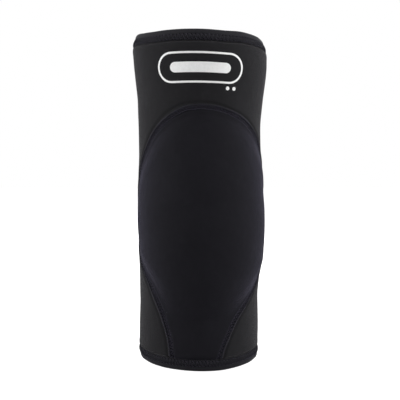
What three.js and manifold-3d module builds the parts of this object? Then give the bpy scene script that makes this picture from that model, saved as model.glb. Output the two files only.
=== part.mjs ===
// Padded elbow sleeve: a neoprene tube closed by one seam down the back, with a tongue-shaped pad
// panel let into the elbow side, a foam pad pocketed behind that panel, a folded binding on each
// end and overlocked seams over the joint lines.
//
// Millimetres, +Z up the arm towards the shoulder, -Y (front) out through the pad, +Y (back) to
// the crook, +X to the right seen from the front. The origin is the centre of the whole piece.
// The flexion axis runs along X at the origin's height, a little towards the crook. The sleeve is
// cut there into a forearm half and an upper-arm half. A wedge-shaped crook part, which rides on
// the upper-arm half, fills the room that the two halves close up when the arm bends.
//
// Places on the sleeve are given as (s, z, offset): s is the distance round from the front,
// positive towards +X, z the height, and offset the distance out from the outer surface.

import * as THREE from "three";
import { mergeVertices } from "three/addons/utils/BufferGeometryUtils.js";
import Module from "manifold-3d";

const wasm = await Module();
wasm.setup();

// ---------------------------------------------------------------- driving dimensions
const LENGTH = 234; // rim to rim
const AXIS_Y = 2.9; // the tube's own axis lies this far behind the origin
const ROUND = 36; // facets round the tube
const ARC_R = 46; // radius that turns distance round the sleeve into an angle
const BACK = Math.PI * ARC_R; // s of the middle of the back

// Layers
const NEOPRENE = 3.0; // body panel
const LINING_OUT = -3.3; // offsets of the lining's two faces
const LINING_IN = -3.9;
const COVER = 1.6; // pad cover panel
const BUTT_GAP = 0.3; // each panel stops this short of a seam line
const LAYER_GAP = 0.3;

// Pad
const PAD_RISE = 11.0; // how far the pad stands proud of the sleeve
const PAD_MID_Z = -13; // height of the pad's thickest point
const PAD_UP = 73; // from there to the pad's top edge
const PAD_DOWN = 68; // and to its bottom edge
const PAD_SQUARE = 2.4; // how full the pad is across its width
const PAD_MARGIN = 7; // flat flange of cover between the seam line and the pad

// Hems
const HEM = 8.2; // depth of the binding
const HEM_TAPE = 0.8; // thickness of the binding tape
const HEM_PINCH = 1.15; // how far the neoprene is squeezed under the binding
const RIM_Z = LENGTH / 2;
const HEM_Z = RIM_Z - HEM; // the binding's inboard edge
const EDGE_Z = RIM_Z - HEM_TAPE - LAYER_GAP; // cut edge of the panels inside the binding

// Overlock seams
const SEAM_WIDTH = 5.2;
const THREAD = 0.6; // height of the thread bed
const THREAD_LIFT = 0.3;
const SEAM_TOP_Z = HEM_Z - 0.8; // seams stop just short of the binding
const SEAM_BOTTOM_Z = -SEAM_TOP_Z;

// Elbow split
const HINGE_Y = 10; // the flexion axis lies this far behind the origin
const FLEX_DEG = 110; // elbow flexion
const WEDGE_DEG = FLEX_DEG / 2 + 1.5; // half-angle of the crook wedge
const SPLIT_GAP = 0.15; // each half stops this short of the elbow plane
const CROOK_GAP = 0.5; // the crook wedge's tip lies this far behind the axis

// Outer radius of the sleeve without the pad: [height, radius].
const PROFILE = [
  [-117, 44.5], [-111.4, 44.8], [-105, 44.6], [-93, 44.6], [-80.7, 44.3], [-68.5, 44.3],
  [-55.4, 44.9], [-48, 45.2], [-30, 45.5], [-12, 45.6], [4, 45.6], [20, 45.5],
  [36, 45.3], [51.6, 45.3], [63.5, 45.8], [75.3, 46.6], [87, 48.0], [98.8, 49.3],
  [104.7, 49.5], [110.5, 49.2], [117, 48.5],
];

// Right-hand half of the pad panel's seam line, top to bottom: [s from the midline, height].
const SEAM_LINE = [
  [0, 66.1], [9.2, 65.2], [17.1, 63], [25.2, 59.8], [32.2, 56], [38.7, 51.5],
  [44.6, 46.5], [49.6, 40.9], [54.4, 34.8], [59.1, 28.4], [63.2, 21.8], [67, 14.9],
  [70.4, 7.7], [73, 0], [74.2, -9.8], [74.5, -17.8], [73.8, -25.8], [72, -32.2],
  [68.8, -39.1], [63.8, -45.5], [57.6, -51.3], [51.4, -57], [45.8, -62.6], [40.3, -68.3],
  [34.9, -74], [29.7, -80.1], [25.4, -87.1], [22, -94.6], [19.6, -102], [18.1, -109.6],
  [17.4, -116.4],
];

// The pad panel's midline wanders round from the front: [height, s].
const PANEL_DRIFT = [
  [-117, -2.4], [-110, -2.2], [-102, -1.7], [-94, -0.6], [-87, 0.2], [-80, 1.3],
  [-74, 2.9], [-68.3, 4.7], [-62.6, 6.3], [-57, 7.2], [-51.2, 7.6], [-45.5, 7.7],
  [-39.1, 7.3], [-31.9, 6.9], [-18, 6.8], [0, 6.5], [14.9, 6.4], [34.8, 6.7],
  [46.5, 6.6], [51.5, 6.2], [56, 5.5], [59.8, 4.6], [63, 3], [65.2, 1.7],
  [66.1, 1.2],
];

// ---------------------------------------------------------------- materials
const matte = ({ color, roughness }) =>
  new THREE.MeshStandardMaterial({ color, roughness, metalness: 0 });
const NEOPRENE_BLACK = matte({ color: 0x2b2b2c, roughness: 0.82 });
const COVER_BLACK = matte({ color: 0x211f26, roughness: 0.74 });
const BINDING_BLACK = matte({ color: 0x252429, roughness: 0.72 });
const THREAD_BLACK = matte({ color: 0x1b1b1e, roughness: 0.66 });
const LINING_GREY = matte({ color: 0x1f2023, roughness: 0.9 });
const FOAM_GREY = matte({ color: 0x3a3b3e, roughness: 0.95 });
const BACKING_GREY = matte({ color: 0x232427, roughness: 0.9 });
const PRINT_WHITE = matte({ color: 0xeeeeec, roughness: 0.45 });
const LABEL_GREY = matte({ color: 0xb9bab8, roughness: 0.8 });

// ---------------------------------------------------------------- curves
const vec2 = (x, y) => new THREE.Vector2(x, y);

// Monotone cubic through [x, y] pairs sorted by x, held level beyond both ends.
function smooth(table) {
  const last = table.length - 1;
  const x = table.map((pair) => pair[0]);
  const y = table.map((pair) => pair[1]);
  const chords = [];
  for (let i = 0; i < last; i++) chords.push((y[i + 1] - y[i]) / (x[i + 1] - x[i]));
  const slopes = [chords[0]];
  for (let i = 1; i < last; i++) {
    const before = chords[i - 1];
    const after = chords[i];
    slopes.push(before * after <= 0 ? 0 : (2 * before * after) / (before + after));
  }
  slopes.push(chords[last - 1]);
  return (value) => {
    if (value <= x[0]) return y[0];
    if (value >= x[last]) return y[last];
    let i = 0;
    while (value > x[i + 1]) i++;
    const step = x[i + 1] - x[i];
    const t = (value - x[i]) / step;
    return (
      y[i] * (1 + 2 * t) * (1 - t) ** 2 +
      step * slopes[i] * t * (1 - t) ** 2 +
      y[i + 1] * t * t * (3 - 2 * t) +
      step * slopes[i + 1] * t * t * (t - 1)
    );
  };
}

const radius = smooth(PROFILE);
const drift = smooth(PANEL_DRIFT);
const seamCurve = new THREE.SplineCurve(SEAM_LINE.map(([s, z]) => vec2(s, z)));

// The seam line moved `inset` towards the middle of the panel, in `count` equal steps from its
// top.
function insetLine(inset, count) {
  const line = [];
  for (let i = 0; i <= count; i++) {
    const point = seamCurve.getPointAt(i / count);
    const along = seamCurve.getTangentAt(i / count);
    const s = i === 0 ? 0 : Math.max(0, point.x + along.y * inset);
    line.push(vec2(s, point.y - along.x * inset));
  }
  return line;
}

// Half-width, as a function of height, of the shape that the inset seam line bounds.
function widthInside(inset) {
  const samples = 300;
  const minStep = 1e-3; // samples closer in height than this are dropped
  const table = insetLine(inset, samples)
    .map((point) => [point.y, point.x])
    .sort((a, b) => a[0] - b[0])
    .filter((pair, i, all) => i === 0 || pair[0] - all[i - 1][0] > minStep);
  const width = smooth(table);
  const top = table[table.length - 1][0];
  return (z) => (z >= top ? 0 : width(z));
}
const padWidth = widthInside(PAD_MARGIN);

// How far the pad lifts the cover, with s measured from the panel's midline.
function padRise(s, z) {
  const reach = z > PAD_MID_Z ? PAD_UP : PAD_DOWN;
  const upward = (z - PAD_MID_Z) / reach;
  const width = padWidth(z);
  if (Math.abs(upward) >= 1 || Math.abs(s) >= width) return 0;
  return PAD_RISE * (1 - upward ** 2) * (1 - (Math.abs(s) / width) ** PAD_SQUARE);
}

// Sets `target` to a place on the sleeve.
function onSleeve(s, z, offset, target) {
  const angle = s / ARC_R;
  const r = radius(z) + offset;
  target.set(r * Math.sin(angle), AXIS_Y - r * Math.cos(angle), z);
}

// ---------------------------------------------------------------- solids
function solidOf(geometry) {
  const bare = geometry.clone();
  bare.deleteAttribute("normal");
  bare.deleteAttribute("uv");
  const merged = mergeVertices(bare, 1e-3);
  const index = merged.index.array;
  const triangles = [];
  for (let i = 0; i < index.length; i += 3) {
    const [a, b, c] = index.subarray(i, i + 3);
    if (a !== b && b !== c && a !== c) triangles.push([a, b, c]);
  }
  const make = (faces) =>
    new wasm.Manifold(
      new wasm.Mesh({
        numProp: 3,
        vertProperties: merged.attributes.position.array,
        triVerts: new Uint32Array(faces.flat()),
      }),
    );
  const made = make(triangles);
  // A mesh that came out inside out is turned.
  return made.volume() >= 0 ? made : make(triangles.map(([a, b, c]) => [a, c, b]));
}

function geometryOf(solid) {
  const mesh = solid.getMesh();
  const positions = new Float32Array(mesh.numVert * 3);
  for (let i = 0; i < mesh.numVert; i++) {
    const start = i * mesh.numProp;
    positions.set(mesh.vertProperties.subarray(start, start + 3), i * 3);
  }
  const geometry = new THREE.BufferGeometry();
  geometry.setAttribute("position", new THREE.BufferAttribute(positions, 3));
  geometry.setIndex(new THREE.BufferAttribute(new Uint32Array(mesh.triVerts), 1));
  geometry.computeVertexNormals();
  return geometry;
}

// Moves every vertex: place(x, y, z, at) sets `at` to the new position.
function reshape(geometry, place) {
  const position = geometry.attributes.position;
  const at = new THREE.Vector3();
  for (let i = 0; i < position.count; i++) {
    place(position.getX(i), position.getY(i), position.getZ(i), at);
    position.setXYZ(i, at.x, at.y, at.z);
  }
  return geometry;
}

// A slab bent onto the sleeve. place(u, v, w, at) puts each point of a unit slab, whose u has
// `columns` steps, v has `rows` and w runs outwards, each from 0 to 1.
function bentSlab(columns, rows, place) {
  const box = new THREE.BoxGeometry(1, 1, 1, columns, rows, 1);
  return solidOf(reshape(box, (x, y, z, at) => place(x + 0.5, y + 0.5, z + 0.5, at)));
}

// A ring round the whole sleeve from an open list of [offset, z] points, which it closes.
function sleeveRing(profile) {
  const points = profile.map(([offset, z]) => vec2(radius(z) + offset, z));
  points.push(points[0].clone());
  const lathe = new THREE.LatheGeometry(points, ROUND, -Math.PI / 2);
  lathe.rotateX(Math.PI / 2);
  lathe.translate(0, AXIS_Y, 0);
  return solidOf(lathe);
}

// A ring at the top (sign 1) or bottom (sign -1) hem, its profile given for the top one.
const hemRing = (sign, profile) => sleeveRing(profile.map(([offset, z]) => [offset, sign * z]));

// A panel of the tongue's shape, held `inset` inside the seam line. Its rows follow the seam
// line's own points, so that panels with different insets stay parallel.
const TONGUE_ROWS = 24;
const TONGUE_HEM_CLEAR = 3; // rows from the seam line stop this far above the bottom binding
const TONGUE_HEM_ROWS = [1.6, 0.2]; // further rows, by height above the binding's edge
// Column places from the midline out, as fractions of the half-width.
const FINE = [0, 0.12, 0.28, 0.46, 0.64, 0.8, 0.9, 1];
const PLAIN = [0, 0.17, 0.34, 0.5, 0.67, 0.84, 1];
function tonguePanel({ inset, bottom, inner, outer, columns = FINE }) {
  const width = widthInside(inset);
  const onSeam = insetLine(0, TONGUE_ROWS);
  const aboveHem = onSeam.filter((point) => point.y > -HEM_Z + TONGUE_HEM_CLEAR).length;
  const line = [
    ...insetLine(inset, TONGUE_ROWS).slice(0, aboveHem),
    ...TONGUE_HEM_ROWS.map((height) => vec2(width(height - HEM_Z), height - HEM_Z)),
    vec2(width(-RIM_Z), bottom),
  ].reverse();
  const fractions = [...columns.slice(1).map((column) => -column).reverse(), ...columns];
  const lastColumn = fractions.length - 1;
  const lastRow = line.length - 1;
  return bentSlab(lastColumn, lastRow, (u, v, w, at) => {
    const row = line[Math.round(v * lastRow)];
    const s = row.x * fractions[Math.round(u * lastColumn)];
    const face = w < 0.5 ? inner : outer;
    onSleeve(s + drift(row.y), row.y, face(s, row.y), at);
  });
}

// A strip laid along a line of (s, z) points, u running along it. widthScale(u) narrows it.
function sleeveStrip(line, halfWidth, inner, outer, widthScale = () => 1) {
  const last = line.length - 1;
  const normals = line.map((_, i) => {
    const before = line[Math.max(0, i - 1)];
    const after = line[Math.min(last, i + 1)];
    const along = vec2(after.x - before.x, after.y - before.y).normalize();
    return vec2(along.y, -along.x);
  });
  return bentSlab(last, 1, (u, v, w, at) => {
    const i = Math.round(u * last);
    const across = (1 - 2 * v) * widthScale(u) * halfWidth;
    const s = line[i].x + normals[i].x * across;
    const z = line[i].y + normals[i].y * across;
    onSleeve(s, z, w < 0.5 ? inner : outer, at);
  });
}

// ---------------------------------------------------------------- the elbow split
const BIG = 200; // reaches past the sleeve on every side
const WEDGE_SLOPE = Math.tan(THREE.MathUtils.degToRad(WEDGE_DEG));

// A prism along X from an outline of [y, z] points.
function prism(outline) {
  const shape = new THREE.Shape(outline.map(([y, z]) => vec2(y, z)));
  const geometry = new THREE.ExtrudeGeometry(shape, { depth: 2 * BIG, bevelEnabled: false });
  geometry.rotateY(Math.PI / 2); // shape x along -Z, extrusion along +X
  geometry.rotateX(Math.PI / 2); // shape x to +Y, shape y to +Z
  geometry.translate(-BIG, 0, 0);
  return solidOf(geometry);
}

// The room above (sign 1) or below (sign -1) the elbow plane, less the crook wedge.
const halfRoom = (sign) =>
  prism([
    [-BIG, sign * SPLIT_GAP],
    [HINGE_Y, sign * SPLIT_GAP],
    [HINGE_Y + BIG, sign * (SPLIT_GAP + WEDGE_SLOPE * BIG)],
    [HINGE_Y + BIG, sign * 3 * BIG],
    [-BIG, sign * 3 * BIG],
  ]);
const upperRoom = halfRoom(1);
const lowerRoom = halfRoom(-1);
const crookRoom = prism([
  [HINGE_Y + CROOK_GAP, 0],
  [HINGE_Y + BIG, -WEDGE_SLOPE * (BIG - CROOK_GAP)],
  [HINGE_Y + BIG, WEDGE_SLOPE * (BIG - CROOK_GAP)],
]);
const leftRoom = solidOf(new THREE.BoxGeometry(BIG, 2 * BIG, 3 * BIG).translate(-BIG / 2, 0, 0));

// The largest piece of a solid, dropping slivers that a cut leaves behind.
const largest = (solid) => solid.decompose().sort((a, b) => b.volume() - a.volume())[0];
const upper = (solid) => largest(solid.intersect(upperRoom));
const lower = (solid) => largest(solid.intersect(lowerRoom));

// ---------------------------------------------------------------- body and lining
const TUBE_ROWS = [-90, -66, -40, -14, 14, 36, 50, 64, 82, 98];
const TUBE_ROWS_DOWN = [...TUBE_ROWS].reverse();
// The body is squeezed in between these two heights, just inboard of each binding.
const PINCH_START_Z = HEM_Z - 1.5;
const PINCH_END_Z = HEM_Z - 0.3;

const bodyTube = () =>
  sleeveRing([
    [-HEM_PINCH, -EDGE_Z],
    [-HEM_PINCH, -PINCH_END_Z],
    [0, -PINCH_START_Z],
    ...TUBE_ROWS.map((z) => [0, z]),
    [0, PINCH_START_Z],
    [-HEM_PINCH, PINCH_END_Z],
    [-HEM_PINCH, EDGE_Z],
    [-NEOPRENE, EDGE_Z],
    [-NEOPRENE, HEM_Z],
    ...TUBE_ROWS_DOWN.map((z) => [-NEOPRENE, z]),
    [-NEOPRENE, -EDGE_Z],
  ]);

const liningTube = () =>
  sleeveRing([
    ...[-EDGE_Z, ...TUBE_ROWS, HEM_Z, EDGE_Z].map((z) => [LINING_OUT, z]),
    ...[EDGE_Z, HEM_Z, ...TUBE_ROWS_DOWN, -EDGE_Z].map((z) => [LINING_IN, z]),
  ]);

// The tongue-shaped opening, cut right through both layers and past the bottom rim.
const opening = tonguePanel({
  inset: -BUTT_GAP,
  bottom: -RIM_Z - 4,
  inner: () => LINING_IN - 0.7,
  outer: () => 1.5,
});
// The slit down the back where the sheet's edges meet.
const backSlit = solidOf(
  new THREE.BoxGeometry(2 * BUTT_GAP, 40, LENGTH + 10).translate(0, AXIS_Y + 50, 0),
);
const body = bodyTube().subtract(opening).subtract(backSlit);
const lining = liningTube().subtract(opening).subtract(backSlit);

// ---------------------------------------------------------------- pad
// The cover is squeezed and thinned by COVER_THINNING where the bottom binding grips it.
const COVER_THINNING = 0.4;
const inHem = (z) => z < -HEM_Z + 0.5;
const cover = tonguePanel({
  inset: BUTT_GAP,
  bottom: -EDGE_Z,
  inner: (s, z) => (inHem(z) ? -HEM_PINCH - COVER + COVER_THINNING : padRise(s, z) - COVER),
  outer: (s, z) => (inHem(z) ? -HEM_PINCH : padRise(s, z)),
});

// The cloth behind the pad, level with the lining's inner face.
const backing = tonguePanel({
  inset: BUTT_GAP,
  bottom: -EDGE_Z,
  inner: () => LINING_IN,
  outer: () => LINING_OUT + 0.3,
  columns: PLAIN,
});

const FOAM_TOP = 54.0;
const FOAM_BOTTOM = -75.0;
const FOAM_STEPS = 14; // both round and up
const FOAM_MARGIN = 2; // inside the pad's outline at each side
const FOAM_HALF_MIN = 0.5;
const FOAM_HALF_MAX = 60; // half-width limit, narrowed below FOAM_CURVE_Z
const FOAM_CURVE_Z = -40; // the bottom end's elliptical limit starts here
const FOAM_CURVE_DEPTH = FOAM_CURVE_Z - FOAM_BOTTOM + 0.5;
const FOAM_BLUNT = 0.03; // keeps the ellipse from closing to a point
const FOAM_INNER = LINING_OUT + 1.2;
const FOAM_COVER_GAP = 1.0;
const FOAM_OUTER_MIN = -COVER - 0.4;

function foamHalfWidth(z) {
  const intoCurve = Math.max(0, (FOAM_CURVE_Z - z) / FOAM_CURVE_DEPTH);
  const narrowing = Math.sqrt(Math.max(FOAM_BLUNT, 1 - intoCurve ** 2));
  const half = Math.min(padWidth(z) - FOAM_MARGIN, FOAM_HALF_MAX * narrowing);
  return Math.max(FOAM_HALF_MIN, half);
}
const foam = bentSlab(FOAM_STEPS, FOAM_STEPS, (u, v, w, at) => {
  // cosine spacing crowds the rows towards both ends
  const z = FOAM_BOTTOM + (FOAM_TOP - FOAM_BOTTOM) * (0.5 - 0.5 * Math.cos(Math.PI * v));
  const s = (2 * u - 1) * foamHalfWidth(z);
  const outer = Math.max(padRise(s, z) - COVER - FOAM_COVER_GAP, FOAM_OUTER_MIN);
  onSleeve(s + drift(z), z, w < 0.5 ? FOAM_INNER : outer, at);
});

// ---------------------------------------------------------------- hems
const TAPE_OUT_INNER = -HEM_PINCH + LAYER_GAP; // the outer fold of tape, inner face
const TAPE_OUT = TAPE_OUT_INNER + HEM_TAPE;
const TAPE_IN_OUTER = LINING_IN - LAYER_GAP; // the inner fold of tape, outer face
const TAPE_IN = TAPE_IN_OUTER - HEM_TAPE;
const TAPE_BEVEL = 0.7;

// Folded binding: a tape over the rim, with a flat edge that the sleeve can stand on.
const binding = (sign) =>
  hemRing(sign, [
    [TAPE_OUT_INNER, HEM_Z],
    [TAPE_OUT, HEM_Z],
    [TAPE_OUT, RIM_Z - TAPE_BEVEL],
    [TAPE_OUT - TAPE_BEVEL, RIM_Z],
    [TAPE_IN + TAPE_BEVEL, RIM_Z],
    [TAPE_IN, RIM_Z - TAPE_BEVEL],
    [TAPE_IN, HEM_Z],
    [TAPE_IN_OUTER, HEM_Z],
    [TAPE_IN_OUTER, RIM_Z - HEM_TAPE],
    [TAPE_OUT_INNER, RIM_Z - HEM_TAPE],
  ]);

// A low band of thread round the binding, with sloped edges.
const HEM_THREAD = 0.4;
function hemStitching(sign) {
  const base = TAPE_OUT + THREAD_LIFT;
  return hemRing(sign, [
    [base, HEM_Z + 0.5],
    [base + HEM_THREAD, HEM_Z + 0.7],
    [base + HEM_THREAD, HEM_Z + 4.8],
    [base, HEM_Z + 5.0],
  ]);
}

// ---------------------------------------------------------------- overlock seams
const overlock = (line) =>
  sleeveStrip(line, SEAM_WIDTH / 2, THREAD_LIFT, THREAD_LIFT + THREAD);

// Round the tongue, up one side from the bottom hem, over its arch and down the other.
function tongueSeam() {
  const right = insetLine(0, 44).filter((point) => point.y > SEAM_BOTTOM_Z + 1);
  right.push(vec2(widthInside(0)(SEAM_BOTTOM_Z), SEAM_BOTTOM_Z));
  const left = right.map((point) => vec2(-point.x, point.y)).reverse();
  const path = [...left, ...right.slice(1)];
  return overlock(path.map((point) => vec2(point.x + drift(point.y), point.y)));
}

function straightBackSeam() {
  const steps = 24;
  const height = SEAM_TOP_Z - SEAM_BOTTOM_Z;
  return overlock(
    Array.from({ length: steps + 1 }, (_, i) => vec2(BACK, SEAM_BOTTOM_Z + (height * i) / steps)),
  );
}
const padSeam = tongueSeam();
const backSeam = straightBackSeam();

// ---------------------------------------------------------------- print and label
// Plain transfer print above the pad: a rounded outline, a bar in it and two dots below.
const PRINT_Z = 91.2;
const PRINT_LIFT = 0.2;
const PRINT_FILM = 0.25;
const OUTLINE = { length: 57, height: 19, line: 1.3 };
const BAR = { length: 40, half: 3.4 };
const DOT_R = 1.3;
const DOT_Z = PRINT_Z - 13.4;
const END_BLUNT = 0.06; // keeps the rounded ends from closing to a point

// The outline starts as a flat turned ring, then is let out along two straight sides.
function printOutline({ length, height, line }) {
  const ringR = 10; // any radius that clears the line's width
  const half = height / 2;
  const straight = length / 2 - half; // half the length of a straight side
  const halfRound = 2 * straight + Math.PI * half; // one straight side and one end
  const section = [
    [-line / 2, 0],
    [line / 2, 0],
    [line / 2, PRINT_FILM],
    [-line / 2, PRINT_FILM],
    [-line / 2, 0],
  ].map(([across, up]) => vec2(ringR + across, up));
  const ring = new THREE.LatheGeometry(section, 72);
  return solidOf(
    reshape(ring, (x, y, z, at) => {
      const turn = Math.atan2(x, z) / (2 * Math.PI);
      const reach = half + Math.hypot(x, z) - ringR;
      // the tiny extra turn keeps the ring's first and last points together
      const along = ((turn + 1.0000001) % 1) * 2 * halfRound;
      // the second half of the way round is the first turned by half a turn
      const sign = along < halfRound ? 1 : -1;
      const run = along < halfRound ? along : along - halfRound;
      const angle = Math.max(0, run - 2 * straight) / half;
      const s = Math.min(run - straight, straight) + reach * Math.sin(angle);
      onSleeve(sign * s, PRINT_Z + sign * reach * Math.cos(angle), PRINT_LIFT + y, at);
    }),
  );
}

// A level printed bar with rounded ends, centred on (centreS, z).
function roundedBar({ centreS, z, length, half, steps }) {
  const line = Array.from({ length: steps + 1 }, (_, i) =>
    vec2(centreS - length / 2 + (length * i) / steps, z),
  );
  const roundEnds = (u) => {
    const fromEnd = Math.min(u, 1 - u) * length;
    if (fromEnd >= half) return 1;
    return Math.sqrt(Math.max(END_BLUNT, 1 - (1 - fromEnd / half) ** 2));
  };
  return sleeveStrip(line, half, PRINT_LIFT, PRINT_LIFT + PRINT_FILM, roundEnds);
}
const printBar = () => roundedBar({ centreS: 0, z: PRINT_Z, ...BAR, steps: 20 });
const dot = (centreS) =>
  roundedBar({ centreS, z: DOT_Z, length: 2 * DOT_R, half: DOT_R, steps: 6 });

// Care label: a blank tab over the back seam, inside the upper arm.
const LABEL = { width: 22, height: 30, bottom: 76, thickness: 0.6 };
const LABEL_INNER = LINING_IN - LAYER_GAP - 0.9;
const careLabel = () =>
  bentSlab(4, 4, (u, v, w, at) => {
    const s = BACK + (u - 0.5) * LABEL.width;
    onSleeve(s, LABEL.bottom + v * LABEL.height, LABEL_INNER + w * LABEL.thickness, at);
  });

// ---------------------------------------------------------------- assembly
const sleeve = new THREE.Group();
const forearmHalf = new THREE.Group();
const upperArmHalf = new THREE.Group();
sleeve.add(forearmHalf, upperArmHalf);

function piece(group, name, solid, finish) {
  const mesh = new THREE.Mesh(geometryOf(solid), finish);
  mesh.name = name;
  group.add(mesh);
}

// Two pieces, parted at X = 0.
function pair(group, name, solid, finish) {
  piece(group, `${name}_left`, largest(solid.intersect(leftRoom)), finish);
  piece(group, `${name}_right`, largest(solid.subtract(leftRoom)), finish);
}

piece(upperArmHalf, "upper_body_panel", upper(body), NEOPRENE_BLACK);
piece(upperArmHalf, "upper_body_lining", upper(lining), LINING_GREY);
piece(upperArmHalf, "upper_pad_cover", upper(cover), COVER_BLACK);
piece(upperArmHalf, "upper_foam_pad", upper(foam), FOAM_GREY);
piece(upperArmHalf, "upper_pad_backing", upper(backing), BACKING_GREY);
piece(upperArmHalf, "top_hem_binding", binding(1), BINDING_BLACK);
piece(upperArmHalf, "top_hem_stitching", hemStitching(1), THREAD_BLACK);
piece(upperArmHalf, "pad_seam_stitching_arch", upper(padSeam), THREAD_BLACK);
piece(upperArmHalf, "back_seam_stitching_upper", upper(backSeam), THREAD_BLACK);
piece(upperArmHalf, "print_outline", printOutline(OUTLINE), PRINT_WHITE);
piece(upperArmHalf, "print_bar", printBar(), PRINT_WHITE);
piece(upperArmHalf, "size_dot_inner", dot(18.6), PRINT_WHITE);
piece(upperArmHalf, "size_dot_outer", dot(23.4), PRINT_WHITE);
piece(upperArmHalf, "care_label", careLabel(), LABEL_GREY);

pair(forearmHalf, "lower_body_panel", body.intersect(lowerRoom), NEOPRENE_BLACK);
pair(forearmHalf, "lower_body_lining", lining.intersect(lowerRoom), LINING_GREY);
piece(forearmHalf, "lower_pad_cover", lower(cover), COVER_BLACK);
piece(forearmHalf, "lower_foam_pad", lower(foam), FOAM_GREY);
piece(forearmHalf, "lower_pad_backing", lower(backing), BACKING_GREY);
piece(forearmHalf, "bottom_hem_binding", binding(-1), BINDING_BLACK);
piece(forearmHalf, "bottom_hem_stitching", hemStitching(-1), THREAD_BLACK);
pair(forearmHalf, "pad_seam_stitching", padSeam.intersect(lowerRoom), THREAD_BLACK);
piece(forearmHalf, "back_seam_stitching_lower", lower(backSeam), THREAD_BLACK);

const crookSeam = largest(backSeam.intersect(crookRoom));
pair(upperArmHalf, "crook_body_panel", body.intersect(crookRoom), NEOPRENE_BLACK);
pair(upperArmHalf, "crook_lining", lining.intersect(crookRoom), LINING_GREY);
piece(upperArmHalf, "back_seam_stitching_crook", crookSeam, THREAD_BLACK);

export default sleeve;
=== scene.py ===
"""A padded elbow sleeve: neoprene tube, foam pad under a knit cover, seams, hems and plain print.

The sleeve stands upright along z, with the upper arm at +z, the forearm at -z and the bend at
z = 0. The pad is at the front, facing -y. The closing seam runs down the back, at +y.

Pieces are drawn in sleeve coordinates, in mm: "arc" is the distance round from the middle of the
front, positive towards +x; z is up; "height" is out from the plain sleeve surface. The panel's own
coordinates are the same, with arc measured from the middle line of the pad panel, which drifts
sideways with z. place() takes sleeve coordinates to metres.
"""

import math

import bpy
import numpy as np
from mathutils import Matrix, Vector, kdtree
from mathutils.geometry import delaunay_2d_cdt


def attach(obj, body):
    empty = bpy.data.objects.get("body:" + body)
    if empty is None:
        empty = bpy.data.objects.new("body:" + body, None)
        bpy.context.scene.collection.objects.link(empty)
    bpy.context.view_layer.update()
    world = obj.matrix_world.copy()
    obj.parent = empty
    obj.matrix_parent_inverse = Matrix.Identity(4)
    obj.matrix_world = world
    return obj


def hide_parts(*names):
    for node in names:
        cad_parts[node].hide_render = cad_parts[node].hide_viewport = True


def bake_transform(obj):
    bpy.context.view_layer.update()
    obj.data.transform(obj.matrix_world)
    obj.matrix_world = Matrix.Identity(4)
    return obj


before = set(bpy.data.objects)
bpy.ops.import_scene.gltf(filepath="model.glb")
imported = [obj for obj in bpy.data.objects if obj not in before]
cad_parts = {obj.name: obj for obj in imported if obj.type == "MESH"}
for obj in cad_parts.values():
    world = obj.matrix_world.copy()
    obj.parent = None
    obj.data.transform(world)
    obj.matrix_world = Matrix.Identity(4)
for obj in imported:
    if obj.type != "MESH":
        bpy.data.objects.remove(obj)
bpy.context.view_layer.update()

UPPER, LOWER = "upper_arm_half", "forearm_half"
MM = 0.001
TAU = 2 * math.pi

# ---------------------------------------------------------------- sizes, in mm
AXIS_Y = 2.9
ARC_R = 46.0  # radius at which arc is measured
BACK = math.pi * ARC_R  # arc at the closing seam
RIM = 117.0
HEM = 8.2
HEM_Z = RIM - HEM
EDGE = RIM - 1.1  # cut edge of the cloth, inside the binding
NEOPRENE = 3.0
COVER = 1.6
LINING = 0.6
LINING_IN = -3.75
LINING_OUT = LINING_IN + LINING
TAPE_IN = LINING_IN - 1.15  # inner face of the hem binding

PAD_RISE, PAD_MID_Z, PAD_UP, PAD_DOWN = 11.0, -13.0, 73.0, 68.0
PAD_EDGE = 3.2  # the pad starts to rise this far inside the seam

RIDGE_AT = 0.6  # rolled ridge of a seam, from its middle
NEEDLE_ROWS = (-2.0, -0.75)
STITCH = 2.3
HEM_ROWS = (HEM_Z + 0.75, HEM_Z + 4.15)
HEM_PITCH = 2.5
SEAM_END = -(HEM_Z + 0.6)

# Sleeve radius: (z, radius).
PROFILE = [
    (-117, 44.6), (-111.4, 45.1), (-105, 44.9), (-93, 44.9), (-80.7, 44.65), (-74.6, 44.5),
    (-68.5, 44.6), (-62.5, 44.95), (-55.4, 45.3), (-48.3, 45.5), (-30, 45.6), (-12, 45.7),
    (4, 45.7), (20, 45.6), (36, 45.45), (51.6, 45.45), (57.6, 45.6), (63.5, 46.0), (69.4, 46.35),
    (75.3, 46.8), (81.2, 47.5), (87.1, 48.25), (93, 48.95), (98.8, 49.45), (104.7, 49.65),
    (109, 49.45), (113, 48.5), (117, 47.4)]
# The +x half of the pad panel's seam, from the top of its arch to the bottom hem: (arc, z).
SEAM_LINE = [
    (0, 66.1), (9.2, 65.2), (17.1, 63), (25.2, 59.8), (32.2, 56), (38.7, 51.5), (44.6, 46.5),
    (49.6, 40.9), (54.4, 34.8), (59.1, 28.4), (63.2, 21.8), (67, 14.9), (70.4, 7.7), (73, 0),
    (74.2, -9.8), (74.5, -17.8), (73.8, -25.8), (72, -32.2), (68.8, -39.1), (63.8, -45.5),
    (57.6, -51.3), (51.4, -57), (45.8, -62.6), (40.3, -68.3), (34.9, -74), (29.7, -80.1),
    (25.4, -87.1), (22, -94.6), (19.6, -102), (18.1, -109.6), (17.4, -116.4)]
SEAM_TAIL = (17.0, -126.0)  # carries the seam straight on past the hem
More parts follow.
